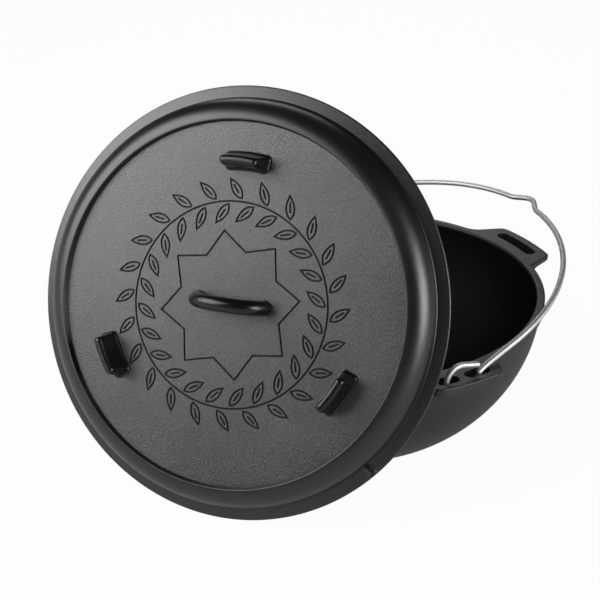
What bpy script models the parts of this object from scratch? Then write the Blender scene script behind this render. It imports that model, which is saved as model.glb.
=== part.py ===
# A cast-iron cauldron at rest: the open pot on its flat bottom, the lid standing on edge and
# leaning on the pot's rim, and the wire bail lying over to one side.
# Metres. Z is up and the floor is z = 0. +X runs through a grip ear, and the bail turns about Y.
import math

import bmesh
import bpy
from mathutils import Matrix, Vector

# Pot
RIM_RADIUS = 0.176
RIM_WIDTH = 0.007
RIM_BAND = 0.008
RIM_LIP = 0.005
POT_HEIGHT = 0.124
BOWL_DEPTH = 0.1535
BOWL_WALL = 0.0045
BOTTOM_THICKNESS = 0.0055
FOOT_ROUNDING = 0.025

# Ears, all four cut to one outline
EAR_REACH = 0.0245
EAR_HALF_WIDTH = 0.0375
EAR_THICKNESS = 0.0075
EAR_CORNER = 0.0045
EAR_BLEND = 0.018
SLOT_WIDTH = 0.0093
SLOT_HALF_LENGTH = 0.026
SLOT_FROM_RIM = 0.006
BRIDGE_WIDTH = 0.008
GRIP_SLOT_DRAFT = 0.0015

# Lid
LID_OVERHANG = 0.0065
FLANGE_THICKNESS = 0.0044
FLANGE_WIDTH = 0.0096
CREASE_FILLET = 0.0018
SHOULDER_WIDTH = 0.0202
DISC_HEIGHT = 0.0214
DISC_RECESS = 0.0046
RECESS_DRAFT = 0.0014
LID_WALL = 0.004
RIDGE_DEPTH = 0.004
RIDGE_WIDTH = 0.004
RIDGE_CLEARANCE = 0.001
LID_LEAN = math.radians(23.5)
LID_SIDE = math.radians(-139.2)
LID_SHIFT = -0.051
LEAN_CLEARANCE = 0.0003

# Loop handle and the three legs on the lid, a little off its middle as the mould's top half was
PATTERN_SHIFT = (0.0014, 0.0021)
HANDLE_HALF_SPAN = 0.0292
HANDLE_RISE = 0.0235
HANDLE_BAR_RADIUS = 0.0062
HANDLE_FLARE = 0.0018
LEG_CIRCLE = 0.1173
LEG_HEIGHT = 0.023
LEG_HALF_LENGTH = 0.019
LEG_WIDTH = 0.0135
LEG_TOP_WIDTH = 0.0045
LEG_END_DRAFT = 0.003
LEG_ANGLES = [math.radians(angle) for angle in (90, 210, 330)]

# Thermometer channel through the flange
CHANNEL_ANGLE = math.radians(-41.7)
CHANNEL_RADIUS = 0.003
CHANNEL_WALL = 0.0028

# Bail
WIRE_RADIUS = 0.00255
BAIL_PAST_RIM = 0.002
BAIL_ARCH_OFFSET = 0.0196
NOTCH_HEIGHT = 0.0095
NOTCH_HALF_WIDTH = 0.0175
HOOK_RADIUS = 0.0164
HOOK_DEPTH = 0.0095
HOOK_RISE = 0.013
HOOK_TURN = 300
HOOK_SLACK = 0.0023
HOOK_END = 0.010
HOOK_DROP = 0.00635
BAIL_CLEARANCE = 0.0003
BAIL_TILT = math.radians(13.7)
BAIL_LIFT = -0.0013
HOOK_ENTRY = (0.016, -0.0038, 0.0017)

SEGMENTS = 68
SINK = 0.002
TRIM = 0.001


def clear_scene():
    for obj in list(bpy.data.objects):
        bpy.data.objects.remove(obj, do_unlink=True)


def material(name, color, roughness, metallic):
    made = bpy.data.materials.new(name)
    made.use_nodes = True
    surface = made.node_tree.nodes["Principled BSDF"]
    surface.inputs["Base Color"].default_value = (*color, 1)
    surface.inputs["Roughness"].default_value = roughness
    surface.inputs["Metallic"].default_value = metallic
    return made


def add_object(name, mesh_builder, surface=None):
    """Object from a bmesh, with its normals made to face out."""
    bmesh.ops.remove_doubles(mesh_builder, verts=mesh_builder.verts, dist=1e-6)
    bmesh.ops.recalc_face_normals(mesh_builder, faces=mesh_builder.faces)
    mesh = bpy.data.meshes.new(name)
    mesh_builder.to_mesh(mesh)
    mesh_builder.free()
    mesh.shade_smooth()
    mesh.set_sharp_from_angle(angle=math.radians(35))
    obj = bpy.data.objects.new(name, mesh)
    bpy.context.scene.collection.objects.link(obj)
    if surface:
        mesh.materials.append(surface)
    return obj


def combine(target, helper, operation):
    """Boolean with a helper object that rides on the target and isn't rendered."""
    helper.parent = target
    helper.hide_render = True
    helper.display_type = "WIRE"
    step = target.modifiers.new(helper.name, "BOOLEAN")
    step.operation = operation
    step.solver = "EXACT"
    step.object = helper


def turned(profile):
    """Solid of revolution of (radius, height) points whose ends lie on the axis."""
    made = bmesh.new()
    verts = [made.verts.new((radius, 0, height)) for radius, height in profile]
    edges = [made.edges.new(pair) for pair in zip(verts, verts[1:])]
    bmesh.ops.spin(
        made,
        geom=verts + edges,
        cent=(0, 0, 0),
        axis=(0, 0, 1),
        angle=math.tau,
        steps=SEGMENTS,
        use_merge=True,
    )
    bmesh.ops.remove_doubles(made, verts=made.verts, dist=1e-6)
    return made


def lofted(sections):
    """Solid through rings of equal point counts, closed at both ends."""
    made = bmesh.new()
    rings = [[made.verts.new(point) for point in section] for section in sections]
    for low, high in zip(rings, rings[1:]):
        for i in range(len(low)):
            j = (i + 1) % len(low)
            made.faces.new((low[i], low[j], high[j], high[i]))
    made.faces.new(rings[0])
    made.faces.new(rings[-1])
    return made


def prism(outline, bottom, top):
    return tapered(outline, outline, bottom, top)


def tapered(low, high, bottom, top):
    """Solid between two outlines of equal point counts."""
    return lofted([[(x, y, bottom) for x, y in low], [(x, y, top) for x, y in high]])


def arc(center, radius, start, end, steps):
    """Points on a circle, both ends included."""
    angles = [start + (end - start) * i / steps for i in range(steps + 1)]
    return [(center[0] + radius * math.cos(a), center[1] + radius * math.sin(a)) for a in angles]


def bowl_curve(radius, depth, bottom, rounding, steps):
    """Half of an oval hung from the rim plane, cut off flat at the bottom with a rounded edge."""

    def center_of_rounding(angle):
        normal = Vector((math.cos(angle) / radius, -math.sin(angle) / depth)).normalized()
        point = Vector((radius * math.cos(angle), POT_HEIGHT - depth * math.sin(angle)))
        return point - rounding * normal, normal

    low, high = 0.0, math.pi / 2
    for _ in range(50):
        middle = (low + high) / 2
        if center_of_rounding(middle)[0].y > bottom + rounding:
            low = middle
        else:
            high = middle
    center, normal = center_of_rounding(low)
    curve = [(0, bottom)]
    curve += arc(center, rounding, -math.pi / 2, math.atan2(normal.y, normal.x), 5)
    for i in range(1, steps + 1):
        angle = low * (1 - i / steps)
        curve.append((radius * math.cos(angle), POT_HEIGHT - depth * math.sin(angle)))
    return curve


def bowl_inner_radius():
    return RIM_RADIUS - RIM_LIP - BOWL_WALL


def pot_profile():
    """Outside from the middle of the bottom up, over the rim, and down the inside."""
    band_foot = POT_HEIGHT - RIM_BAND
    fillet = RIM_LIP - 0.001
    outside = bowl_curve(RIM_RADIUS - RIM_LIP, BOWL_DEPTH, 0, FOOT_ROUNDING, 14)
    outside = [point for point in outside if point[1] < band_foot - fillet]
    wall = outside[-1][0]
    outside += arc((wall + fillet, band_foot - fillet), fillet, math.pi, math.pi / 2, 3)
    outside += [(RIM_RADIUS - 0.0008, band_foot), (RIM_RADIUS, band_foot + 0.0008)]
    outside += [(RIM_RADIUS, POT_HEIGHT + TRIM)]
    mouth = RIM_RADIUS - RIM_WIDTH
    flare = mouth - bowl_inner_radius()
    inside = bowl_curve(
        bowl_inner_radius(),
        BOWL_DEPTH - BOWL_WALL,
        BOTTOM_THICKNESS,
        FOOT_ROUNDING - BOWL_WALL,
        12,
    )
    inside = [point for point in inside if point[1] < POT_HEIGHT - flare - 0.001]
    lip = arc((mouth, POT_HEIGHT - flare), flare, math.pi, math.pi / 2, 3)
    return outside + [(mouth, POT_HEIGHT + TRIM)] + lip[::-1] + inside[::-1]


def turned_about(outline, angle):
    c, s = math.cos(angle), math.sin(angle)
    return [(c * x - s * y, s * x + c * y) for x, y in outline]


def ear_outline():
    """An ear that points along +X: rim side inside the rim, concave blends, rounded corners."""
    rim = RIM_RADIUS - 0.0005
    reach = RIM_RADIUS + EAR_REACH
    blend_y = EAR_HALF_WIDTH + EAR_BLEND
    blend_x = math.sqrt((rim + EAR_BLEND) ** 2 - blend_y**2)
    blend_angle = math.atan2(blend_y, blend_x)
    corner_y = EAR_HALF_WIDTH - EAR_CORNER
    corner_x = math.sqrt((reach - EAR_CORNER) ** 2 - corner_y**2)
    corner_angle = math.atan2(corner_y, corner_x)
    half = arc((0, 0), RIM_RADIUS - 0.004, 0, blend_angle, 4)
    half += arc((blend_x, blend_y), EAR_BLEND, blend_angle + math.pi, 1.5 * math.pi, 6)
    half += arc((corner_x, corner_y), EAR_CORNER, math.pi / 2, corner_angle, 5)
    half += arc((0, 0), reach, corner_angle * 0.8, 0, 4)
    return half + [(x, -y) for x, y in half[-2:0:-1]]


def slot_outline(start, end, narrowing=0.0):
    """A slot with round ends along the rim, between two distances to the side of the ear's middle."""
    radius = RIM_RADIUS + SLOT_FROM_RIM + SLOT_WIDTH / 2
    end_radius = SLOT_WIDTH / 2 - narrowing
    first = (start + SLOT_WIDTH / 2) / radius
    last = (end - SLOT_WIDTH / 2) / radius
    outline = arc((0, 0), radius + end_radius, first, last, 6)
    center = (radius * math.cos(last), radius * math.sin(last))
    outline += arc(center, end_radius, last, last + math.pi, 8)[1:-1]
    outline += arc((0, 0), radius - end_radius, last, first, 6)
    center = (radius * math.cos(first), radius * math.sin(first))
    outline += arc(center, end_radius, first + math.pi, first + math.tau, 8)[1:-1]
    return outline


def add_pot(surface):
    pot = add_object("pot", turned(pot_profile()), surface)
    grip_slots = [(-SLOT_HALF_LENGTH, SLOT_HALF_LENGTH, GRIP_SLOT_DRAFT)]
    bail_slots = [
        (BRIDGE_WIDTH / 2, SLOT_HALF_LENGTH, 0),
        (-SLOT_HALF_LENGTH, -BRIDGE_WIDTH / 2, 0),
    ]
    ears = [
        ("grip_ear_right", 0, grip_slots),
        ("bail_ear_back", 90, bail_slots),
        ("grip_ear_left", 180, grip_slots),
        ("bail_ear_front", 270, bail_slots),
    ]
    for name, degrees, _ in ears:
        outline = turned_about(ear_outline(), math.radians(degrees))
        ear = add_object(name, prism(outline, POT_HEIGHT - EAR_THICKNESS, POT_HEIGHT + TRIM))
        combine(pot, ear, "UNION")
    for name, degrees, slots in ears:
        for number, (start, end, draft) in enumerate(slots):
            # A draft is over the ear's thickness, and the cutter runs past both faces of it.
            turn = math.radians(degrees)
            past = TRIM / EAR_THICKNESS
            low = turned_about(slot_outline(start, end, draft * (1 + past)), turn)
            high = turned_about(slot_outline(start, end, -draft * 2 * past), turn)
            slot = tapered(low, high, POT_HEIGHT - EAR_THICKNESS - TRIM, POT_HEIGHT + 2 * TRIM)
            combine(pot, add_object(f"{name}_slot_{number}", slot), "DIFFERENCE")
    reach = RIM_RADIUS + 2 * EAR_REACH
    corners = [(reach, reach), (-reach, reach), (-reach, -reach), (reach, -reach)]
    trim = add_object("rim_trim", prism(corners, POT_HEIGHT, POT_HEIGHT + 4 * TRIM))
    combine(pot, trim, "DIFFERENCE")
    return pot


def lid_radius():
    return RIM_RADIUS + LID_OVERHANG


def lid_profile():
    """Outer face from the middle out, round the flange, and back under; height 0 is the seat."""
    edge = lid_radius()
    crease = edge - FLANGE_WIDTH
    inner = crease - SHOULDER_WIDTH
    top = DISC_HEIGHT + DISC_RECESS
    foot = FLANGE_THICKNESS + CREASE_FILLET
    face = [(0, DISC_HEIGHT), (inner - RECESS_DRAFT, DISC_HEIGHT), (inner, top - 0.0004)]
    for i in range(8):
        angle = math.pi / 2 * (1 - (i + 0.4) / 7.4)
        across = inner + (SHOULDER_WIDTH - CREASE_FILLET) * math.cos(angle)
        face.append((across, foot + (top - foot) * math.sin(angle)))
    face += arc((crease, foot), CREASE_FILLET, math.pi, 1.5 * math.pi, 3)[1:]
    face += [(edge - 0.001, FLANGE_THICKNESS)]
    face += [(edge, FLANGE_THICKNESS - 0.001), (edge, 0.001), (edge - 0.001, 0)]
    ridge = bowl_inner_radius() - RIDGE_CLEARANCE
    under = [(ridge, 0), (ridge - 0.0006, -RIDGE_DEPTH)]
    under += [(ridge - RIDGE_WIDTH, -RIDGE_DEPTH), (ridge - RIDGE_WIDTH - 0.0006, 0)]
    hollow = inner + 0.002
    rise = DISC_HEIGHT - LID_WALL
    for i in range(6):
        angle = math.pi / 2 * (i + 0.5) / 6
        across = ridge - RIDGE_WIDTH - 0.0006 - hollow
        under.append((hollow + across * math.cos(angle), rise * math.sin(angle)))
    return face + under + [(hollow - 0.002, rise), (0, rise)]


def handle_sections():
    """Rings along a low arch, thicker at the feet, which sink into the disc."""
    sections = []
    foot = DISC_HEIGHT - SINK
    for i in range(19):
        angle = math.pi * i / 18
        x = -HANDLE_HALF_SPAN * math.cos(angle)
        rise = (HANDLE_RISE + SINK) * math.sin(angle) ** 0.75
        radius = HANDLE_BAR_RADIUS + HANDLE_FLARE * (1 - min(1, rise / 0.012)) ** 2
        slope = math.atan2(
            HANDLE_RISE * math.cos(angle) if 0 < i < 18 else math.cos(angle),
            HANDLE_HALF_SPAN * math.sin(angle) if 0 < i < 18 else 0,
        )
        across = Vector((-math.sin(slope), 0, math.cos(slope)))
        middle = Vector((x, 0, foot + rise))
        ring = []
        for k in range(14):
            turn = math.tau * k / 14
            ring.append(middle + radius * (math.cos(turn) * across + math.sin(turn) * Vector((0, 1, 0))))
        sections.append(ring)
    return sections


def leg_section(width, half_length, height):
    """A stretch of a ring round the lid's middle, with its corners cut off."""
    radius = LEG_CIRCLE
    corner = min(0.0015, width / 3)
    outer = radius + width / 2
    inner = radius - width / 2
    end = half_length / radius
    side_end = (half_length - corner) / radius
    polar = [(outer, side_end * (i - 3) / 3) for i in range(7)]
    polar += [(outer - corner, end), (inner + corner, end)]
    polar += [(inner, side_end * (3 - i) / 3) for i in range(7)]
    polar += [(inner + corner, -end), (outer - corner, -end)]
    return [(r * math.cos(a), r * math.sin(a), height) for r, a in polar]


def leg_sections():
    top = DISC_HEIGHT + LEG_HEIGHT
    return [
        leg_section(LEG_WIDTH, LEG_HALF_LENGTH, DISC_HEIGHT - SINK),
        leg_section(LEG_WIDTH, LEG_HALF_LENGTH, DISC_HEIGHT),
        leg_section(LEG_TOP_WIDTH + 0.001, LEG_HALF_LENGTH - LEG_END_DRAFT, top - 0.0016),
        leg_section(LEG_TOP_WIDTH - 0.0014, LEG_HALF_LENGTH - LEG_END_DRAFT - 0.0014, top),
    ]


def radial_bar(radius, start, end, depth, angle):
    """A bar along a radius of the lid: round above the seat, with straight sides below it."""
    direction = Vector((math.cos(angle), math.sin(angle), 0))
    side = Vector((-math.sin(angle), math.cos(angle), 0))
    roof = arc((0, 0), radius, 0, math.pi, 8)
    section = roof + [(-radius, -depth), (radius, -depth)]
    return lofted(
        [
            [direction * distance + side * across + Vector((0, 0, height)) for across, height in section]
            for distance in (start, end)
        ]
    )


def lid_placement():
    """Stands the lid on its lower edge and leans the hollow of its underside on the pot's rim."""
    outward = Vector((math.cos(LID_SIDE), math.sin(LID_SIDE), 0))
    normal = outward * math.cos(LID_LEAN) + Vector((0, 0, math.sin(LID_LEAN)))
    right = Vector((-outward.y, outward.x, 0))
    up = normal.cross(right)
    lowest = min(h * math.sin(LID_LEAN) - r * math.cos(LID_LEAN) for r, h in lid_profile())
    rim_point = outward * RIM_RADIUS + Vector((0, 0, POT_HEIGHT))
    from_seat = DISC_HEIGHT - LID_WALL - LEAN_CLEARANCE
    height = -lowest
    across = (rim_point.dot(normal) - from_seat - height * normal.z) / normal.dot(outward)
    place = outward * across + right * LID_SHIFT + Vector((0, 0, height))
    turn = Matrix((right, up, normal)).transposed().to_4x4()
    return Matrix.Translation(place) @ turn


def add_lid(surface):
    lid = add_object("lid", turned(lid_profile()), surface)
    handle = add_object("lid_handle", lofted(handle_sections()))
    handle.location = (*PATTERN_SHIFT, 0)
    combine(lid, handle, "UNION")
    for number, angle in enumerate(LEG_ANGLES):
        leg = add_object(f"lid_leg_{number}", lofted(leg_sections()))
        leg.location = (*PATTERN_SHIFT, 0)
        leg.rotation_euler.z = angle
        combine(lid, leg, "UNION")
    crease = lid_radius() - FLANGE_WIDTH
    cover = CHANNEL_RADIUS + CHANNEL_WALL
    boss = radial_bar(cover, crease - 0.006, lid_radius() - 0.0015, 0, CHANNEL_ANGLE)
    combine(lid, add_object("channel_boss", boss), "UNION")
    depth = RIDGE_DEPTH + TRIM
    channel = radial_bar(CHANNEL_RADIUS, crease - 0.02, lid_radius() + 0.01, depth, CHANNEL_ANGLE)
    combine(lid, add_object("channel", channel), "DIFFERENCE")
    lid.matrix_world = lid_placement()
    return lid


def bail_half():
    """Middle of the arch to the hook's cut end, as (out, side, lift): out is the way the bail
    lies from its axis, side runs along the axis, and lift stands square to both."""
    slot_middle = RIM_RADIUS + SLOT_FROM_RIM + SLOT_WIDTH / 2
    hook_reach = HOOK_RADIUS + HOOK_SLACK
    # The hook is flat and the slots curve with the rim, so it sits between their two middles.
    hook_side = (slot_middle + math.sqrt(slot_middle**2 - hook_reach**2)) / 2
    points = []
    for degrees in list(range(0, 10)) + list(range(10, 82, 4)):
        angle = math.radians(degrees)
        side = (RIM_RADIUS + BAIL_PAST_RIM) * math.sin(angle)
        out = BAIL_ARCH_OFFSET + (RIM_RADIUS + BAIL_PAST_RIM) * math.cos(angle)
        if side < NOTCH_HALF_WIDTH:
            out += NOTCH_HEIGHT * math.cos(math.pi / 2 * side / NOTCH_HALF_WIDTH) ** 2
        points.append(Vector((out, side, BAIL_LIFT)))
    # The leg leaves the arch, swings out past the rim and dives into the slot.
    start = points[-1]
    end = Vector((HOOK_RADIUS - HOOK_SLACK, hook_side, 0))
    start_pull = (start - points[-2]).normalized() * (end - start).length * 0.42
    end_pull = Vector(HOOK_ENTRY)
    for i in range(1, 16):
        t = i / 16
        near = (1 - t) ** 3 * start + 3 * (1 - t) ** 2 * t * (start + start_pull)
        points.append(near + 3 * (1 - t) * t * t * (end + end_pull) + t**3 * end)
    center = Vector((-HOOK_SLACK, hook_side, 0))
    for degrees in range(0, -HOOK_TURN - 1, -15):
        angle = math.radians(degrees)
        lift = HOOK_DEPTH if degrees > -180 else HOOK_RISE
        across = HOOK_RADIUS * math.cos(angle)
        points.append(center + Vector((across, 0, lift * math.sin(angle))))
    way = Vector((HOOK_RADIUS * math.sin(angle), 0, -HOOK_RISE * math.cos(angle)))
    points.append(points[-1] + way.normalized() * HOOK_END)
    return points


def add_bail(surface):
    half = bail_half()
    path = [Vector((p.x, -p.y, p.z)) for p in half[:0:-1]] + half
    curve = bpy.data.curves.new("bail", "CURVE")
    curve.dimensions = "3D"
    curve.bevel_depth = WIRE_RADIUS
    curve.bevel_resolution = 3
    curve.use_fill_caps = True
    spline = curve.splines.new("POLY")
    spline.points.add(len(path) - 1)
    for point, place in zip(spline.points, path):
        point.co = (*place, 1)
    curve.materials.append(surface)
    bail = bpy.data.objects.new("bail", curve)
    bpy.context.scene.collection.objects.link(bail)
    # The wire lies on the ears' top, and the middle of its hooks hangs below that.
    bail.location.z = POT_HEIGHT + BAIL_CLEARANCE + WIRE_RADIUS - HOOK_DROP
    bail.rotation_euler.y = -BAIL_TILT
    return bail


clear_scene()
iron = material("seasoned_iron", (0.045, 0.045, 0.047), 0.55, 0.4)
wire = material("steel_wire", (0.55, 0.55, 0.56), 0.28, 1.0)
add_pot(iron)
add_lid(iron)
add_bail(wire)
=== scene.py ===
import math

import bmesh
import bpy
import numpy as np
from mathutils import Matrix, Vector, noise
from mathutils.geometry import delaunay_2d_cdt


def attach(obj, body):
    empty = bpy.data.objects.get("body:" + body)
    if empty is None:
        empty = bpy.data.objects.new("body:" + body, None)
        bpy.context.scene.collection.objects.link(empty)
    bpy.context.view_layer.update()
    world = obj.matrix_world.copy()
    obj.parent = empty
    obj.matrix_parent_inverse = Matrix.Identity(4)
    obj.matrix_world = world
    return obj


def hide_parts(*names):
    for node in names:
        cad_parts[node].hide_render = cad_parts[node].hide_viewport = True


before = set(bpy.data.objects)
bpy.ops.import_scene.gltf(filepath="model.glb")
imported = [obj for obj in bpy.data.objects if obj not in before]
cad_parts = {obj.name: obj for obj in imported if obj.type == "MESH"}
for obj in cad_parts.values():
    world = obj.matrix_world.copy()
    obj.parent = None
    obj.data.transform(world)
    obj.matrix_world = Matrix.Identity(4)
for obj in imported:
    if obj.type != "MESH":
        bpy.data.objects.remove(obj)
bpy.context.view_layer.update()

mm = 0.001  # the object's shapes are worked out in millimetres, the studio in metres
weldDistance = 1e-7  # metres

print("frame loaded:", sorted(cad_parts))


def smoothStep(t):
    t = min(1.0, max(0.0, t))
    return t * t * (3 - 2 * t)


def arcPoints(centre, radius, start, end, steps):
    # both ends included, angles in degrees
    angles = [math.radians(start + (end - start) * i / steps) for i in range(steps + 1)]
    return [(centre[0] + radius * math.cos(a), centre[1] + radius * math.sin(a)) for a in angles]


def offsetLoop(loop, distance):
    # moves a closed outline that runs anticlockwise outward, with mitred corners
    loop = np.array(loop, float)
    along = np.roll(loop, -1, 0) - loop
    along /= np.linalg.norm(along, axis=1)[:, None]
    after = np.stack([along[:, 1], -along[:, 0]], 1)
    before = np.roll(after, 1, 0)
    share = 1 + (after * before).sum(1)
    return loop + np.reshape(distance, (-1, 1)) * (after + before) / share[:, None]


def insideLoop(loop, spots):
    # which of the spots lie inside a closed outline, by counting crossings
    a = np.array(loop, float)
    b = np.roll(a, -1, 0)
    x, y = spots[:, 0][:, None], spots[:, 1][:, None]
    spans = (a[:, 1] > y) != (b[:, 1] > y)
    rise = np.where(b[:, 1] == a[:, 1], 1e-12, b[:, 1] - a[:, 1])
    cut = a[:, 0] + (y - a[:, 1]) * (b[:, 0] - a[:, 0]) / rise
    return (spans & (x < cut)).sum(1) % 2 == 1


class Shell:
    # a mesh in the making: its points in millimetres, and the faces between rings of them
    def __init__(self, **finishes):
        self.points = []
        self.faces = []
        self.finishes = finishes  # materials, by a name for their place on the piece
        self.faceFinish = []  # number of each face's material
        self.surface = 0  # number of the material in use

    def number(self, finish):
        return list(self.finishes).index(finish)

    def ring(self, points):
        first = len(self.points)
        self.points += [tuple(float(x) for x in point) for point in points]
        return list(range(first, len(self.points)))

    def face(self, corners):
        self.faces.append(corners)
        self.faceFinish.append(self.surface)

    def bridge(self, a, b):
        for i in range(len(a)):
            j = (i + 1) % len(a)
            self.face((a[i], a[j], b[j], b[i]))

    def chain(self, rings):
        for a, b in zip(rings, rings[1:]):
            self.bridge(a, b)

    def cap(self, ring, centre):
        middle = self.ring([centre])[0]
        for i in range(len(ring)):
            self.face((ring[i], ring[(i + 1) % len(ring)], middle))

    def fill(self, outer, holes, lines=()):
        # triangles between an outline and its holes that keep to the lines drawn between them
        rings = [outer, *holes, *lines]
        numbers = [i for ring in rings for i in ring]
        flat = np.array([self.points[i][:2] for i in numbers])
        edges, first = [], 0
        for ring in rings:
            size = len(ring)
            edges += [(first + i, first + (i + 1) % size) for i in range(size)]
            first += size
        found = delaunay_2d_cdt([Vector(p) for p in flat], edges, [], 0, 1e-5)
        if len(found[0]) != len(flat):
            raise ValueError(f"lines of a filled face cross: {len(flat)} {len(found[0])}")
        back = [origin[0] for origin in found[3]]
        triangles = np.array([[back[i] for i in face] for face in found[2]])
        middles = flat[triangles].mean(1)
        keep = insideLoop(flat[: len(outer)], middles)
        first = len(outer)
        for hole in holes:
            keep &= ~insideLoop(flat[first : first + len(hole)], middles)
            first += len(hole)
        for triangle in triangles[keep]:
            self.face(tuple(numbers[i] for i in triangle))

    def waver(self, amount, size):
        # the slow unevenness of a sand casting; mathutils takes this noise's offsets from the clock,
        # so it isn't quite the same in each run
        for i, point in enumerate(self.points):
            shift = noise.noise_vector(Vector(point) / size) * amount
            self.points[i] = tuple(Vector(point) + shift)

    def make(self, name, place=None, sharp=38):
        mesh = bpy.data.meshes.new(name)
        mesh.from_pydata([Vector(p) * mm for p in self.points], [], self.faces)
        for surface in self.finishes.values():
            mesh.materials.append(surface)
        mesh.polygons.foreach_set("material_index", self.faceFinish)
        shape = bmesh.new()
        shape.from_mesh(mesh)
        bmesh.ops.remove_doubles(shape, verts=shape.verts, dist=weldDistance)
        bmesh.ops.recalc_face_normals(shape, faces=shape.faces)
        openEdges = sum(1 for edge in shape.edges if len(edge.link_faces) != 2)
        shape.to_mesh(mesh)
        shape.free()
        if place:
            mesh.transform(place)
        mesh.shade_smooth()
        mesh.set_sharp_from_angle(angle=math.radians(sharp))
        piece = bpy.data.objects.new(name, mesh)
        bpy.context.scene.collection.objects.link(piece)
        weigh = piece.modifiers.new("weighted normals", "WEIGHTED_NORMAL")
        weigh.keep_sharp = True
        print(f"{name}: {len(mesh.polygons)} faces, {openEdges} open edges")
        return piece


class Shade:
    # a shader socket that can stand in a sum; plain numbers stay plain numbers
    def __init__(self, tree, socket):
        self.tree = tree
        self.socket = socket

    def node(self, kind, settings, sockets, out=0):
        made = self.tree.nodes.new("ShaderNode" + kind)
        for name, value in settings.items():
            setattr(made, name, value)
        for name, value in sockets.items():
            if isinstance(value, Shade):
                self.tree.links.new(value.socket, made.inputs[name])
            else:
                made.inputs[name].default_value = value
        return Shade(self.tree, made.outputs[out])

    def sum(self, operation, a, b):
        return self.node("Math", {"operation": operation}, {0: a, 1: b})

    def __add__(self, other):
        return self.sum("ADD", self, other)

    def __rsub__(self, other):
        return self.sum("SUBTRACT", other, self)

    def __mul__(self, other):
        return self.sum("MULTIPLY", self, other)

    __radd__ = __add__
    __rmul__ = __mul__

    def noise(self, scale, detail=2.0, roughness=0.5):
        return self.node(
            "TexNoise", {}, {"Vector": self, "Scale": scale, "Detail": detail, "Roughness": roughness}
        )

    def between(self, low, high):
        return self.node("MapRange", {"clamp": True}, {"Value": self, "From Min": low, "From Max": high})

    def tint(self, dark, light):
        # a colour between two, by this value
        return self.node(
            "Mix", {"data_type": "RGBA"}, {0: self, 6: (*dark, 1), 7: (*light, 1)}, out=2
        )


def newSurface(name, **fixed):
    surface = bpy.data.materials.new(name)
    surface.use_nodes = True
    tree = surface.node_tree
    shader = tree.nodes["Principled BSDF"]
    for socket, value in fixed.items():
        shader.inputs[socket].default_value = value
    here = Shade(tree, tree.nodes.new("ShaderNodeTexCoord").outputs["Object"])
    return surface, shader, here


def wireUp(shader, **links):
    for name, value in links.items():
        value.tree.links.new(value.socket, shader.inputs[name.replace("_", " ")])


ironFinish = dict(
    dark=(0.0055, 0.0055, 0.0056),
    light=(0.082, 0.082, 0.084),
    patchScale=16,
    patchDetail=3,
    patchRange=(0.3, 0.7),
    patchShade=0.2,
    patchHeight=1.5,
    patchRoughness=0.10,
    grainScale=1250,
    grainDepth=0.00031,
    grainRoughness=0.08,
    speckScale=1.3,  # as a share of the grain's
    speckRange=(0.48, 0.78),
)


def ironSurface(name, grain, roughness, specular, dark=ironFinish["dark"], light=ironFinish["light"]):
    surface, shader, here = newSurface(name)
    shader.inputs["Specular IOR Level"].default_value = specular
    patches = here.noise(ironFinish["patchScale"], ironFinish["patchDetail"])
    sand = here.noise(ironFinish["grainScale"], 1, 0.6)
    specks = here.noise(ironFinish["grainScale"] * ironFinish["speckScale"], 0)
    height = sand + patches * ironFinish["patchHeight"]
    bump = here.node(
        "Bump", {}, {"Strength": grain, "Distance": ironFinish["grainDepth"], "Height": height}
    )
    shade = patches.between(*ironFinish["patchRange"]) * ironFinish["patchShade"]
    shade = shade + specks.between(*ironFinish["speckRange"])
    spread = ironFinish["patchRoughness"], ironFinish["grainRoughness"]
    wireUp(
        shader,
        Base_Color=shade.tint(dark, light),
        Roughness=(patches * spread[0] + sand * spread[1]) + (roughness - sum(spread) / 2),
        Normal=bump,
    )
    return surface


deepBlack = (0.0018, 0.0018, 0.0018)
dimBlack = (0.0055, 0.0055, 0.0056)
castIron = ironSurface(
    "sandCastIron", grain=0.8, roughness=0.42, specular=0.5, light=(0.032, 0.032, 0.0328)
)
lidIron = ironSurface("lidFloorIron", grain=1.0, roughness=0.31, specular=0.91)
smoothIron = ironSurface(
    "smootherIron", grain=0.3, roughness=0.35, specular=0.66, dark=deepBlack, light=(0.011, 0.011, 0.0113)
)
# painted shade: the legs and the handle are painted darker than the lid's iron, for the shade on their sides
legAndHandleIronPaintedShade = ironSurface(
    "legAndHandleIronPaintedShade", grain=0.35, roughness=0.27, specular=0.44, dark=deepBlack, light=dimBlack
)
flangeIron = ironSurface(
    "flangeIron", grain=0.6, roughness=0.33, specular=0.73, light=(0.02, 0.02, 0.0205)
)
# painted shade: the bowl's inside and the walls of the ear slots are painted near black for the shade that
# lies in them
insideIronPaintedShade = ironSurface(
    "bowlInsideAndSlotsPaintedShade",
    grain=0.8,
    roughness=0.6,
    specular=0.11,
    dark=(0.0011, 0.0011, 0.0011),
    light=(0.0036, 0.0036, 0.0037),
)
# painted shade: the ornament's sunk grooves are painted near black for the shade in them
grooveIronPaintedShade = ironSurface(
    "grooveIronPaintedShade", grain=0.6, roughness=0.6, specular=0.36, dark=deepBlack, light=dimBlack
)

wireFinish = dict(
    colour=(0.66, 0.66, 0.668),
    shadow=(0.57, 0.57, 0.578),
    roughness=0.56,
    roughnessSpread=0.2,
    drawScale=220,
    blurScale=45,
    bumpStrength=0.1,
    bumpDepth=0.00001,
)


def wireSurface():
    surface, shader, here = newSurface("drawnSteelWire", Metallic=1.0)
    draw = here.noise(wireFinish["drawScale"], 2)
    blur = here.noise(wireFinish["blurScale"], 3)
    bump = here.node(
        "Bump",
        {},
        {"Strength": wireFinish["bumpStrength"], "Distance": wireFinish["bumpDepth"], "Height": draw},
    )
    streaks = (draw * 0.5 + blur * 0.5).between(0.3, 0.7)
    spread = wireFinish["roughnessSpread"]
    wireUp(
        shader,
        Base_Color=streaks.tint(wireFinish["shadow"], wireFinish["colour"]),
        Roughness=blur * spread + (wireFinish["roughness"] - spread / 2),
        Normal=bump,
    )
    return surface


steelWire = wireSurface()
print("finishes made")


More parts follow.
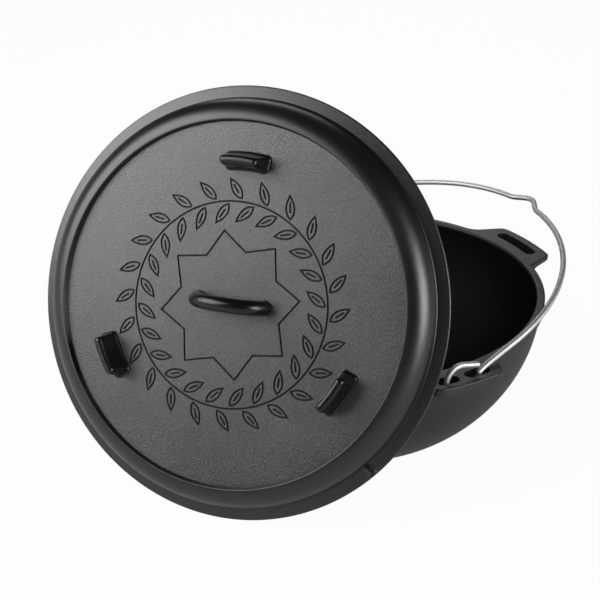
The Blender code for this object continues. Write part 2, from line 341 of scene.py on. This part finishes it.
pot = dict(
    rimRadius=176.0,
    rimWidth=5.5,
    rimBand=8.0,
    rimLip=3.0,
    height=124.0,
    bowlDepth=153.5,
    wall=4.5,
    bottom=5.5,
    footRounding=25.0,
    gripEarFirst=dict(half=37.0, corner=6.0, blend=4.0, slope=21, reach=25.0),
    gripEarLast=dict(half=41.0, corner=10.0, blend=20.0, slope=24, reach=25.0),
    bailEar=dict(half=34.5, corner=11.0, blend=9.0, slope=17, reach=23.0),
    earThickness=7.5,
    slotWidth=9.3,
    gripSlotEnds=(-25.2, 27.8),
    bailSlotEnds=((-26.0, -7.2), (0.8, 22.6)),
    slotFromRim=6.0,
    gripSlotDraft=2.2,
    topRounding=1.3,
    underRounding=1.0,
    gripEarUnderRounding=4.2,
    underFillet=1.2,
    slotRounding=1.1,
    bandStep=(1.0, 4.0),  # how far out the band's underside starts to rise to the ears', and over what length
    gripEarRoundingRun=6.0,
    unevenness=0.16,
    unevennessSize=45.0,
)
potSteps = dict(
    edge=6, foot=12, inside=40, outside=44, rim=34, earBlend=14, earCorner=9, earEdge=12, slotEnd=14
)


def bowlCurve(radius, depth, bottom, rounding, steps):
    # (radius, height) of half an oval hung from the rim plane, cut flat with a rounded edge
    def roundingAt(angle):
        normal = Vector((math.cos(angle) / radius, -math.sin(angle) / depth)).normalized()
        point = Vector((radius * math.cos(angle), pot["height"] - depth * math.sin(angle)))
        return point - rounding * normal, normal

    # halves the angle's range until the rounding touches both the oval and the flat bottom
    low, high = 0.0, math.pi / 2
    for _ in range(50):
        middle = (low + high) / 2
        if roundingAt(middle)[0].y > bottom + rounding:
            low = middle
        else:
            high = middle
    centre, normal = roundingAt(low)
    curve = [(centre.x * share, bottom) for share in (0.3, 0.6, 0.85)]
    ovalStart = math.degrees(math.atan2(normal.y, normal.x))
    curve += arcPoints(centre, rounding, -90, ovalStart, potSteps["foot"])
    for i in range(1, steps + 1):
        angle = low * (1 - i / steps)
        curve.append((radius * math.cos(angle), pot["height"] - depth * math.sin(angle)))
    return curve


def earHalf(half, corner, blend, slope, reach):
    # from the rim beside an ear that points along +X to the middle of its edge
    rim = pot["rimRadius"]
    reach += rim
    lean = math.radians(slope)
    normal, inward = Vector((math.sin(lean), math.cos(lean))), Vector((-math.cos(lean), math.sin(lean)))
    middle = Vector((math.sqrt((reach - corner) ** 2 - (half - corner) ** 2), half - corner))
    cornerAngle = math.degrees(math.atan2(middle.y, middle.x))
    # the blend's circle touches the ear's side and the rim
    foot = middle + normal * (corner + blend)
    along = foot.dot(inward)
    centre = foot + inward * (-along - math.sqrt(along**2 - foot.dot(foot) + (rim + blend) ** 2))
    blendAngle = math.degrees(math.atan2(centre.y, centre.x))
    start, end = centre - normal * blend, middle + normal * corner
    points = arcPoints(centre, blend, blendAngle + 180, 270 - slope, potSteps["earBlend"])
    points += [tuple(start + (end - start) * t) for t in (0.35, 0.7)]
    points += arcPoints(middle, corner, 90 - slope, cornerAngle, potSteps["earCorner"])
    points += arcPoints((0, 0), reach, cornerAngle, 0, potSteps["earEdge"])[1:]
    return points, blendAngle


def turnedBy(points, degrees):
    c, s = math.cos(math.radians(degrees)), math.sin(math.radians(degrees))
    return [(c * x - s * y, s * x + c * y) for x, y in points]


def rimOutline():
    # a grip ear's two sides differ, a bail ear's are alike
    gripFirst, gripLast = earHalf(**pot["gripEarFirst"]), earHalf(**pot["gripEarLast"])
    bailEar = earHalf(**pot["bailEar"])
    outline = []
    for turn, first, last, following in (
        (0, gripFirst, gripLast, bailEar),
        (90, bailEar, bailEar, gripFirst),
        (180, gripFirst, gripLast, bailEar),
        (270, bailEar, bailEar, gripFirst),
    ):
        ear = [(x, -y) for x, y in first[0]] + last[0][-2::-1]
        ear += arcPoints((0, 0), pot["rimRadius"], last[1], 90 - following[1], potSteps["rim"])[1:-1]
        outline += turnedBy(ear, turn)
    return outline


def slotLoop(start, end, degrees, narrowing=0.0):
    # between two distances to the side of the ear's middle, with round ends
    middle = pot["rimRadius"] + pot["slotFromRim"] + pot["slotWidth"] / 2
    cap = pot["slotWidth"] / 2 - narrowing
    first = math.degrees((start + pot["slotWidth"] / 2) / middle)
    last = math.degrees((end - pot["slotWidth"] / 2) / middle)
    steps = potSteps["slotEnd"]
    loop = arcPoints((0, 0), middle + cap, first, last, steps)
    centre = (middle * math.cos(math.radians(last)), middle * math.sin(math.radians(last)))
    loop += arcPoints(centre, cap, last, last + 180, steps)[1:-1]
    loop += arcPoints((0, 0), middle - cap, last, first, steps)
    centre = (middle * math.cos(math.radians(first)), middle * math.sin(math.radians(first)))
    loop += arcPoints(centre, cap, first + 180, first + 360, steps)[1:-1]
    return turnedBy(loop, degrees)


def undersideHeight(x, y):
    # the rim band is a little thicker than the ears
    below = pot["height"] - pot["rimBand"]
    step = pot["rimBand"] - pot["earThickness"]
    start, run = pot["bandStep"]
    return below + step * smoothStep((math.hypot(x, y) - pot["rimRadius"] - start) / run)


def buildPot():
    shell = Shell(outside=castIron, inside=insideIronPaintedShade)
    top, radius = pot["height"], pot["rimRadius"]
    outline = rimOutline()
    angles = [math.atan2(y, x) for x, y in outline]

    def turned(points):
        return [shell.ring([(r * math.cos(a), r * math.sin(a), z) for a in angles]) for r, z in points]

    def bevelled(loop, rounding, side, way, level):
        # rings over an edge, from the flat face to the upright wall of the loop
        rings = []
        rounding = np.broadcast_to(rounding, len(loop))
        for i in range(potSteps["edge"] + 1):
            angle = math.pi / 2 * i / potSteps["edge"]
            moved = offsetLoop(loop, side * rounding * (1 - math.sin(angle)))
            drop = way * rounding * (1 - math.cos(angle))
            rings.append(shell.ring([(x, y, level(x, y) + d) for (x, y), d in zip(moved, drop)]))
        return rings

    flat = lambda x, y: top
    innerRadius = radius - pot["rimLip"] - pot["wall"]
    mouth = radius - pot["rimWidth"]
    flare = mouth - innerRadius
    depth, rounding = pot["bowlDepth"] - pot["wall"], pot["footRounding"] - pot["wall"]
    inside = bowlCurve(innerRadius, depth, pot["bottom"], rounding, potSteps["inside"])
    inside = [point for point in inside if point[1] < top - flare - 1]
    lip = arcPoints((mouth, top - flare), flare, 180, 90, potSteps["edge"])
    # the bowl's inside takes the iron painted near black as painted shade
    shell.surface = shell.number("inside")
    insideRings = turned(inside)
    shell.cap(insideRings[0], (0, 0, pot["bottom"]))
    shell.chain(insideRings)
    shell.surface = shell.number("outside")
    lipRings = turned(lip)
    shell.chain([insideRings[-1], *lipRings])

    fillet = pot["underFillet"]
    foot = top - pot["rimBand"]
    outside = bowlCurve(
        radius - pot["rimLip"], pot["bowlDepth"], 0, pot["footRounding"], potSteps["outside"]
    )
    outside = [point for point in outside if point[1] < foot - fillet]
    wall = outside[-1][0]
    outside += arcPoints((wall + fillet, foot - fillet), fillet, 180, 90, potSteps["edge"])
    outsideRings = turned(outside)
    shell.cap(outsideRings[0], (0, 0, 0))
    shell.chain(outsideRings)

    run = pot["gripEarRoundingRun"]
    onGripEar = np.array(
        [smoothStep((math.hypot(x, y) - radius) / run) * (abs(x) > abs(y)) for x, y in outline]
    )
    underRounding = pot["underRounding"] + (pot["gripEarUnderRounding"] - pot["underRounding"]) * onGripEar
    topRings = bevelled(outline, pot["topRounding"], -1, -1, flat)
    underRings = bevelled(outline, underRounding, -1, 1, undersideHeight)
    shell.chain(topRings + underRings[::-1])

    slots = [(start, end, 270, 0.0) for start, end in pot["bailSlotEnds"]]
    slots += [(-end, -start, 90, 0.0) for start, end in pot["bailSlotEnds"]]
    slots += [(*pot["gripSlotEnds"], turn, pot["gripSlotDraft"]) for turn in (0, 180)]
    topHoles, underHoles = [], []
    # the slots' walls take the same iron, painted near black as painted shade
    shell.surface = shell.number("inside")
    for start, end, degrees, draft in slots:
        down = bevelled(slotLoop(start, end, degrees), pot["slotRounding"], 1, -1, flat)
        lower = slotLoop(start, end, degrees, draft)
        up = bevelled(lower, pot["slotRounding"], 1, 1, undersideHeight)
        shell.chain(down + up[::-1])
        topHoles.append(down[0])
        underHoles.append(up[0])
    shell.surface = shell.number("outside")
    shell.fill(topRings[0], [lipRings[-1], *topHoles])
    shell.fill(underRings[0], [outsideRings[-1], *underHoles])
    shell.waver(pot["unevenness"], pot["unevennessSize"])
    piece = shell.make("pot_body")
    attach(piece, "pot")
    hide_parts("pot")


buildPot()


lid = dict(
    edgeRadius=182.5,
    flangeThickness=4.4,
    flangeDrop=1.9,
    flangeWidth=9.6,
    creaseFillet=1.1,
    shoulderWidth=20.2,
    discHeight=21.4,
    discRecess=4.6,
    recessDraft=1.4,
    wall=4.0,
    ridgeRadius=165.5,
    ridgeDepth=4.0,
    ridgeWidth=4.0,
    edgeRounding=1.2,
    underRounding=1.0,
    lean=23.5,
    side=-139.2,
    shift=-51.0,
    leanClearance=0.3,
)
lidTop = dict(
    middle=(1.4, 2.1),
    handleHalfSpan=29.2,
    handleRise=23.5,
    handleFullness=0.75,  # 1 is half an oval, and less is squarer
    barRadius=6.2,
    flare=0.6,
    flareHeight=10.0,
    legCircle=117.3,
    legHeight=23.0,
    legHalfLength=19.0,
    legWidth=13.5,
    legTopWidth=6.5,
    legEndDraft=3.0,
    legFillet=1.6,
    legRounding=2.6,
    legCorner=3.0,
    legCornerTaper=0.4,
    legRoundSteps=5,
    legSideSteps=8,
    legAngles=(90, 210, 330),
)
channel = dict(
    angle=-41.7,
    radius=3.0,
    wall=2.8,
    inner=152.9,
    bossEnd=181.0,
    bossFade=(0.5, 0.4),  # before and after its end
    bossInward=6.0,  # how far inside the crease it starts
    fineTurn=0.15,  # degrees between the points beside the channel
    fineTurns=27,
    coarseTurns=352,  # round the rest, a degree apart
)
ornament = dict(
    halfLine=0.8,
    halfFloor=0.5,
    depth=1.1,
    stemRadius=86.0,
    leaves=24,
    leafLength=19.0,
    leafWidth=7.2,
    leafLean=38,
    leafSteps=12,
    leafSkew=0.85,
    leafFullness=0.9,
    stemGap=2.6,
    stemSteps=120,
    starOuter=62.0,
    starInner=46.0,
    starPoints=8,
)


def lidPlace():
    side, lean = math.radians(lid["side"]), math.radians(lid["lean"])
    outward = Vector((math.cos(side), math.sin(side), 0))
    normal = outward * math.cos(lean) + Vector((0, 0, math.sin(lean)))
    right = Vector((-outward.y, outward.x, 0))
    up = normal.cross(right)
    # the lid stands on one end or the other of its lower edge's rounding
    rounding = lid["underRounding"]
    corners = [(lid["edgeRadius"], rounding), (lid["edgeRadius"] - rounding, 0.0)]
    height = max(r * math.cos(lean) - h * math.sin(lean) for r, h in corners)
    rimPoint = outward * pot["rimRadius"] + Vector((0, 0, pot["height"]))
    fromSeat = lid["discHeight"] - lid["wall"] - lid["leanClearance"]
    across = (rimPoint.dot(normal) - fromSeat - height * normal.z) / normal.dot(outward)
    place = (outward * across + right * lid["shift"] + Vector((0, 0, height))) * mm
    turn = Matrix((right, up, normal)).transposed().to_4x4()
    return Matrix.Translation(place) @ turn


def roundedBlock(halfLength, halfWidth, corner, height, degrees):
    # outline of a leg at one height: a rounded bar bent round the lid's middle
    corner = min(corner, halfWidth * 0.95, halfLength)
    cornerSteps, sideSteps, endSteps = 6, 10, 3
    flat = []
    for sx, sy, start in ((1, 1, 0), (-1, 1, 90), (-1, -1, 180), (1, -1, 270)):
        centre = (sx * (halfWidth - corner), sy * (halfLength - corner))
        flat += arcPoints(centre, corner, start, start + 90, cornerSteps)
    # the straight stretches get points of their own, so that they bend too
    dense = []
    for i, (x, y) in enumerate(flat):
        dense.append((x, y))
        nx, ny = flat[(i + 1) % len(flat)]
        if i % (cornerSteps + 1) == cornerSteps:
            count = sideSteps if abs(nx - x) < 1e-6 else endSteps
            dense += [(x + (nx - x) * k / count, y + (ny - y) * k / count) for k in range(1, count)]
    radius = lidTop["legCircle"]
    turn = math.radians(degrees)
    mx, my = lidTop["middle"]
    return [
        (
            mx + (radius + x) * math.cos(turn + y / radius),
            my + (radius + x) * math.sin(turn + y / radius),
            height,
        )
        for x, y in dense
    ]


def addLeg(shell, degrees):
    floor, fillet, rounding = lid["discHeight"], lidTop["legFillet"], lidTop["legRounding"]
    height, roundSteps, sideSteps = (lidTop[name] for name in ("legHeight", "legRoundSteps", "legSideSteps"))

    def section(level, extra):
        share = level / height
        half = lidTop["legHalfLength"] - lidTop["legEndDraft"] * share + extra
        width = lidTop["legWidth"] + (lidTop["legTopWidth"] - lidTop["legWidth"]) * share
        corner = lidTop["legCorner"] - lidTop["legCornerTaper"] * share + max(0, extra)
        return roundedBlock(half, width / 2 + extra, corner, floor + level, degrees)

    quarter = [math.pi / 2 * i / roundSteps for i in range(roundSteps + 1)]
    levels = [(fillet * (1 - math.cos(a)), fillet * (1 - math.sin(a))) for a in quarter]
    levels += [(fillet + (height - rounding - fillet) * i / sideSteps, 0) for i in range(1, sideSteps)]
    levels += [(height - rounding * (1 - math.sin(a)), -rounding * (1 - math.cos(a))) for a in quarter]
    rings = [shell.ring(section(level, extra)) for level, extra in levels]
    shell.chain(rings)
    shell.fill(rings[-1], [])
    return rings[0]


def addHandle(shell):
    mx, my = lidTop["middle"]
    floor, rise, span = lid["discHeight"], lidTop["handleRise"], lidTop["handleHalfSpan"]
    rings = []
    steps, sides = 64, 36
    for i in range(steps + 1):
        angle = math.pi * i / steps
        x = -span * math.cos(angle)
        z = rise * math.sin(angle) ** lidTop["handleFullness"] if 0 < i < steps else 0.0
        slope = math.atan2(
            rise * math.cos(angle) if 0 < i < steps else math.cos(angle),
            span * math.sin(angle) if 0 < i < steps else 0,
        )
        flare = lidTop["flare"] * (1 - min(1, z / lidTop["flareHeight"])) ** 2
        radius = lidTop["barRadius"] + flare
        across = Vector((-math.sin(slope), 0, math.cos(slope)))
        middle = Vector((mx + x, my, floor + z))
        ring = []
        for k in range(sides):
            turn = math.tau * k / sides
            point = middle + radius * (math.cos(turn) * across + math.sin(turn) * Vector((0, 1, 0)))
            ring.append((point.x, point.y, max(point.z, floor)))
        rings.append(shell.ring(ring))
    shell.chain(rings)
    return [rings[0], rings[-1]]


def leafPath(foot, degrees, length, width):
    # a pointed leaf from its foot, anticlockwise
    side = []
    for i in range(1, ornament["leafSteps"]):
        t = i / ornament["leafSteps"]
        swell = math.sin(math.pi * t ** ornament["leafSkew"]) ** ornament["leafFullness"]
        side.append((length * t, width / 2 * swell))
    points = [(0, 0)] + [(x, -y) for x, y in side] + [(length, 0)] + side[::-1]
    return [(foot[0] + x, foot[1] + y) for x, y in turnedBy(points, degrees)]


def strokeLoop(path, halfWidth):
    # the outline round an open line, with round ends
    endSteps = 6
    line = np.array(path, float)
    along = np.gradient(line, axis=0)
    along /= np.linalg.norm(along, axis=1)[:, None]
    side = np.stack([along[:, 1], -along[:, 0]], 1)
    end = math.degrees(math.atan2(side[-1][1], side[-1][0]))
    start = math.degrees(math.atan2(side[0][1], side[0][0]))
    loop = [tuple(p) for p in line + side * halfWidth]
    loop += arcPoints(line[-1], halfWidth, end, end + 180, endSteps)[1:-1]
    loop += [tuple(p) for p in (line - side * halfWidth)[::-1]]
    loop += arcPoints(line[0], halfWidth, start + 180, start + 360, endSteps)[1:-1]
    return loop


def ornamentLines():
    # closed and open lines of a wreath round an eight-pointed star
    closed, opened = [], []
    count = ornament["starPoints"]
    star = []
    for i in range(2 * count):
        radius = ornament["starOuter"] if i % 2 == 0 else ornament["starInner"]
        angle = math.pi * i / count + math.pi / count / 2
        star.append((radius * math.cos(angle), radius * math.sin(angle)))
    closed.append(star)
    stem = ornament["stemRadius"]
    for i in range(ornament["leaves"]):
        degrees = 360 * i / ornament["leaves"]
        for side in (-1, 1):
            turn = degrees + (0 if side > 0 else 180 / ornament["leaves"])
            foot = turnedBy([(stem + side * ornament["stemGap"], 0)], turn)[0]
            lean = turn + (ornament["leafLean"] if side > 0 else 180 - ornament["leafLean"])
            closed.append(leafPath(foot, lean, ornament["leafLength"], ornament["leafWidth"]))
            vein = turnedBy([(ornament["leafLength"] * t, 0) for t in (0.3, 0.4, 0.5, 0.6, 0.7)], lean)
            opened.append([(foot[0] + x, foot[1] + y) for x, y in vein])
    closed.append(arcPoints((0, 0), stem, 0, 360, ornament["stemSteps"])[:-1])
    return closed, opened


def buildLid():
    shell = Shell(
        floor=lidIron,
        shoulder=smoothIron,
        underside=castIron,
        groove=grooveIronPaintedShade,
        fittings=legAndHandleIronPaintedShade,
        flange=flangeIron,
    )
    edge = lid["edgeRadius"]
    crease = edge - lid["flangeWidth"]
    inner = crease - lid["shoulderWidth"]
    floor, top = lid["discHeight"], lid["discHeight"] + lid["discRecess"]
    thick, fillet = lid["flangeThickness"], lid["creaseFillet"]
    fine, count = channel["fineTurn"], channel["fineTurns"]
    near = [channel["angle"] + fine * i for i in range(-count, count + 1)]
    rest = [channel["angle"] + fine * (count + 1) + i for i in range(channel["coarseTurns"])]
    degrees = near + rest
    turns = [math.radians(d) for d in degrees]

    def aside(radius, degree):
        turn = math.radians((degree - channel["angle"] + 180) % 360 - 180)
        return radius * math.sin(turn) if abs(turn) < 1 else radius

    def upperHeight(radius, degree, z):
        across = aside(radius, degree)
        bossRadius, start = channel["radius"] + channel["wall"], crease - channel["bossInward"]
        before, after = channel["bossFade"]
        if abs(across) > bossRadius or radius < start or radius > channel["bossEnd"] + after:
            return z
        roof = math.sqrt(bossRadius**2 - across**2)
        roof *= 1 - smoothStep((radius - channel["bossEnd"] + before) / (before + after))
        return max(z, roof)

    def lowerHeight(radius, degree, z):
        across = aside(radius, degree)
        if abs(across) >= channel["radius"] or radius < channel["inner"]:
            return z
        return max(z, math.sqrt(channel["radius"] ** 2 - across**2))

    def rings(points, height):
        return [
            shell.ring(
                [(r * math.cos(a), r * math.sin(a), height(r, d, z)) for a, d in zip(turns, degrees)]
            )
            for r, z in points
        ]

    plain = lambda r, d, z: z
    shoulderStart, shoulderSteps, hollowSteps = 88, 26, 18
    # profiles of the recess's side, the shoulder, the flange, and the underside with its ridge and hollow
    recess = [(inner - lid["recessDraft"], floor), (inner - 0.25, top - 0.9), (inner + 0.1, top - 0.25)]
    recess += [(inner + 0.6, top)]
    foot = thick + fillet
    shoulder = []
    for i in range(1, shoulderSteps + 1):
        angle = math.radians(shoulderStart - shoulderStart * i / shoulderSteps)
        across = inner + (lid["shoulderWidth"] - fillet) * math.cos(angle)
        shoulder.append((across, foot + (top - foot) * math.sin(angle)))
    shoulder += arcPoints((crease, foot), fillet, 180, 270, 6)[1:]
    corner, slope = lid["edgeRounding"], lid["flangeDrop"] / lid["flangeWidth"]
    flange = [(crease + x, thick - slope * x) for x in (1.5, 3, 4.5, 6, 7)]
    flange += [(edge - x, thick - slope * (lid["flangeWidth"] - x)) for x in (2.2, 1.9, 1.6, 1.4)]
    low = thick - lid["flangeDrop"]
    flange += arcPoints((edge - corner, low + 0.2 - corner), corner, 75, 0, 5)
    bend = lid["underRounding"]
    under = [(edge, bend)] + arcPoints((edge - bend, bend), bend, 0, -90, 4)[1:]
    ridge, ridgeFoot = lid["ridgeRadius"], -lid["ridgeDepth"]
    ridgeInside = ridge - lid["ridgeWidth"]
    under += [(x, 0) for x in (179, 176, 173, 170, 167)] + [(ridge + 0.4, 0), (ridge - 0.1, -0.4)]
    under += [(ridge - 0.5, ridgeFoot + 0.5), (ridge - 1.0, ridgeFoot), (ridgeInside + 0.4, ridgeFoot)]
    under += [(ridgeInside - 0.1, ridgeFoot + 0.5), (ridgeInside - 0.6, 0)]
    hollow = inner + 2
    rise = floor - lid["wall"]
    width = ridgeInside - 0.6 - hollow
    for i in range(1, hollowSteps):
        angle = math.pi / 2 * i / hollowSteps
        under.append((hollow + width * math.cos(angle), rise * math.sin(angle)))
    under += [(hollow - 2, rise), (120, rise), (80, rise), (40, rise)]

    shell.surface = shell.number("shoulder")
    recessRings = rings(recess, plain)
    upperRings = rings(shoulder + flange, upperHeight)
    shell.chain(recessRings + upperRings[: len(shoulder)])
    shell.surface = shell.number("flange")
    shell.chain(upperRings[len(shoulder) - 1 :])
    shell.surface = shell.number("underside")
    lowerRings = rings(under, lowerHeight)
    shell.chain([upperRings[-1], *lowerRings])
    shell.cap(lowerRings[-1], (0, 0, rise))
    # the legs and the handle take an iron painted darker, as painted shade
    shell.surface = shell.number("fittings")
    holes = [addLeg(shell, angle) for angle in lidTop["legAngles"]]
    holes += addHandle(shell)
    shell.surface = shell.number("floor")
    closed, opened = ornamentLines()
    lines = []
    deep = floor - ornament["depth"]
    for halfWidth, level in ((ornament["halfLine"], floor), (ornament["halfFloor"], deep)):
        for path in closed:
            for side in (1, -1):
                loop = offsetLoop(path, side * halfWidth)
                lines.append(shell.ring([(x, y, level) for x, y in loop]))
        for path in opened:
            loop = strokeLoop(path, halfWidth)
            lines.append(shell.ring([(x, y, level) for x, y in loop]))
    before = len(shell.faces)
    shell.fill(recessRings[0], holes, lines)
    # faces sunk below the floor take the groove iron, painted dark as painted shade
    for i in range(before, len(shell.faces)):
        if any(shell.points[corner][2] < floor - 0.1 for corner in shell.faces[i]):
            shell.faceFinish[i] = shell.number("groove")
    piece = shell.make("lid_casting", lidPlace(), sharp=34)
    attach(piece, "lid")
    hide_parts("lid")


buildLid()


bail = dict(
    wireRadius=2.55,
    archRadius=178.0,
    archOffset=19.6,
    archEnd=78,  # degrees from its middle
    notchHeight=8.0,
    notchHalfWidth=22.0,
    hookRadius=16.4,
    hookDepth=7.4,
    hookSlack=2.3,
    hookTop=(4.0, 13.8),
    hookTip=(17.3, 7.0),
    hookBend=(10.0, 12.0),
    axisHeight=120.5,
    tilt=13.7,
    lift=-1.3,
    hookEntry=(16.0, -3.8, 1.7),
    entryPull=0.42,
    endRounding=0.7,
)
bailSteps = dict(entry=30, hook=36, bend=14, end=6, round=24)


def curvePoints(a, b, c, d, steps):
    # along a cubic curve, without its first point
    points = []
    for i in range(1, steps + 1):
        t = i / steps
        points.append((1 - t) ** 3 * a + 3 * (1 - t) ** 2 * t * b + 3 * (1 - t) * t * t * c + t**3 * d)
    return points


def bailHalf():
    # middle of the arch to the hook's cut end, as (out, side, lift) from the bail's axis
    slotMiddle = pot["rimRadius"] + pot["slotFromRim"] + pot["slotWidth"] / 2
    reach = bail["hookRadius"] + bail["hookSlack"]
    hookSide = (slotMiddle + math.sqrt(slotMiddle**2 - reach**2)) / 2
    points = []
    # half a degree apart along the notch, and then two degrees
    for degrees in [x * 0.5 for x in range(20)] + list(range(10, bail["archEnd"] + 1, 2)):
        angle = math.radians(degrees)
        side = bail["archRadius"] * math.sin(angle)
        out = bail["archOffset"] + bail["archRadius"] * math.cos(angle)
        if side < bail["notchHalfWidth"]:
            out += bail["notchHeight"] * math.cos(math.pi / 2 * side / bail["notchHalfWidth"]) ** 2
        points.append(Vector((out, side, bail["lift"])))
    start = points[-1]
    end = Vector((bail["hookRadius"] - bail["hookSlack"], hookSide, 0))
    startPull = (start - points[-2]).normalized() * (end - start).length * bail["entryPull"]
    endPull = Vector(bail["hookEntry"])
    points += curvePoints(start, start + startPull, end + endPull, end, bailSteps["entry"])[:-1]
    centre = Vector((-bail["hookSlack"], hookSide, 0))
    for x, z in arcPoints((0, 0), 1, 0, -180, bailSteps["hook"]):
        points.append(centre + Vector((bail["hookRadius"] * x, 0, bail["hookDepth"] * z)))
    foot = points[-1]
    top, tip = (centre + Vector((x, 0, z)) for x, z in (bail["hookTop"], bail["hookTip"]))
    way = (tip - top).normalized()
    up, back = bail["hookBend"]
    points += curvePoints(foot, foot + Vector((0, 0, up)), top - way * back, top, bailSteps["bend"])
    steps = bailSteps["end"]
    points += [top + (tip - top) * i / steps for i in range(1, steps + 1)]
    return points


def buildBail():
    shell = Shell(wire=steelWire)
    half = bailHalf()
    path = [Vector((p.x, -p.y, p.z)) for p in half[:0:-1]] + half
    radius, sides, rounding = bail["wireRadius"], bailSteps["round"], bail["endRounding"]
    ways = [(b - a).normalized() for a, b in zip(path, path[1:])]
    ways = [ways[0]] + [(a + b).normalized() for a, b in zip(ways, ways[1:])] + [ways[-1]]
    side = ways[0].orthogonal().normalized()
    # a rounded end: how far each of its rings lies from the cut, and its radius
    roundEnd = [
        (rounding * (1 - math.sin(a)), radius - rounding * (1 - math.cos(a))) for a in (1.57, 1.05, 0.5, 0)
    ]
    otherEnd = [(-shift, size) for shift, size in roundEnd[::-1]]
    ends = {0: roundEnd, len(path) - 1: otherEnd}
    turns = [(math.cos(math.tau * k / sides), math.sin(math.tau * k / sides)) for k in range(sides)]
    rings = []
    for i, (point, way) in enumerate(zip(path, ways)):
        side = (side - way * side.dot(way)).normalized()
        other = way.cross(side)
        for shift, size in ends.get(i, [(0, radius)]):
            centre = point + way * shift
            rings.append(shell.ring([centre + size * (c * side + s * other) for c, s in turns]))
    shell.chain(rings)
    shell.cap(rings[0], path[0])
    shell.cap(rings[-1], path[-1])
    place = Matrix.Translation((0, 0, bail["axisHeight"] * mm))
    place = place @ Matrix.Rotation(math.radians(-bail["tilt"]), 4, "Y")
    piece = shell.make("bail_wire", place, sharp=60)
    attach(piece, "bail")
    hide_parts("bail")


buildBail()


studio = dict(
    floorHalf=6.0,
    floorColour=(0.7, 0.7, 0.7),
    floorGlow=0.96,
    floorMirror=0.12,  # how much of the floor shows in reflections
    fill=0.03,  # light from all round, as a share of white
    ceiling=0.025,  # how much of the white surround shows overhead in reflections
    horizon=0.06,  # height of the band in which that share is reached
    lampAim=(-0.05, -0.03, 0.15),
)
lamps = [
    # name, direction from the object, distance, width, height, brightness
    ("leftSoftbox", (-0.83, 0.15, 0.54), 1.4, 1.15, 1.07, 5.8),
    ("frontSoftbox", (0.465, -0.875, 0.26), 1.7, 0.9, 0.9, 9.0),
    ("backSoftbox", (0.43, 0.75, 0.48), 1.7, 0.9, 0.7, 2.2),
]


def rayKinds(tree):
    # values that are 1 for what the camera sees, and for what shows in or through a surface
    path = tree.nodes.new("ShaderNodeLightPath")
    names = ("Is Camera Ray", "Is Glossy Ray", "Is Transmission Ray")
    camera, glossy, through = (Shade(tree, path.outputs[name]) for name in names)
    return camera, glossy + through


def buildStudio():
    mesh = bpy.data.meshes.new("studioFloor")
    half = studio["floorHalf"]
    corners = [(-half, -half, 0), (half, -half, 0), (half, half, 0), (-half, half, 0)]
    mesh.from_pydata(corners, [], [(0, 1, 2, 3)])
    floor = bpy.data.objects.new("studioFloor", mesh)
    bpy.context.scene.collection.objects.link(floor)
    surface, shader, here = newSurface("paperWhite", Roughness=0.9)
    shader.inputs["Base Color"].default_value = (*studio["floorColour"], 1)
    shader.inputs["Specular IOR Level"].default_value = 0.0
    tree = surface.node_tree
    camera, mirror = rayKinds(tree)
    seen = camera + mirror * studio["floorMirror"]
    glow = here.node("Emission", {}, {"Color": (1, 1, 1, 1), "Strength": 1.0})
    body = Shade(tree, shader.outputs[0])
    mixed = here.node("MixShader", {}, {0: seen.between(0, 1) * studio["floorGlow"], 1: body, 2: glow})
    tree.links.new(mixed.socket, tree.nodes["Material Output"].inputs["Surface"])
    mesh.materials.append(surface)

    world = bpy.data.worlds.new("studioAir")
    bpy.context.scene.world = world
    world.use_nodes = True
    tree = world.node_tree
    background = tree.nodes["Background"]
    background.inputs["Color"].default_value = (1, 1, 1, 1)
    way = Shade(tree, tree.nodes.new("ShaderNodeTexCoord").outputs["Generated"])
    height = way.node("SeparateXYZ", {}, {"Vector": way}, out=2)
    low = 1 - height.between(0.0, studio["horizon"]) * (1 - studio["ceiling"])
    camera, mirror = rayKinds(tree)
    rest = 1 - (camera + mirror)
    level = camera + mirror * low + rest * studio["fill"]
    tree.links.new(level.socket, background.inputs["Strength"])


def addLamp(name, way, distance, width, height, brightness):
    lamp = bpy.data.lights.new(name, "AREA")
    lamp.shape = "RECTANGLE"
    lamp.size, lamp.size_y = width, height
    lamp.energy = brightness * math.pi * width * height
    stand = bpy.data.objects.new(name, lamp)
    bpy.context.scene.collection.objects.link(stand)
    way = Vector(way).normalized()
    stand.location = Vector(studio["lampAim"]) + way * distance
    stand.rotation_mode = "QUATERNION"
    stand.rotation_quaternion = (-way).to_track_quat("-Z", "Y")
    stand.visible_camera = False


view = dict(eye=(-0.5696, -1.0067, 0.7052), azimuth=-27.1, elevation=27.13, roll=-1.735, lens=84, sensor=36)


def buildCamera():
    azimuth, elevation, roll = (math.radians(view[name]) for name in ("azimuth", "elevation", "roll"))
    back = Vector(
        (
            math.sin(azimuth) * math.cos(elevation),
            -math.cos(azimuth) * math.cos(elevation),
            math.sin(elevation),
        )
    )
    right = Vector((math.cos(azimuth), math.sin(azimuth), 0))
    up = back.cross(right)
    x = math.cos(roll) * right + math.sin(roll) * up
    y = -math.sin(roll) * right + math.cos(roll) * up
    lens = bpy.data.cameras.new("photoView")
    lens.lens, lens.sensor_width = view["lens"], view["sensor"]
    camera = bpy.data.objects.new("photoView", lens)
    bpy.context.scene.collection.objects.link(camera)
    turn = Matrix((x, y, back)).transposed().to_4x4()
    camera.matrix_world = Matrix.Translation(view["eye"]) @ turn
    bpy.context.scene.camera = camera


buildStudio()
for lamp in lamps:
    addLamp(*lamp)
buildCamera()
bpy.context.scene.view_settings.view_transform = "Standard"
print("studio set")
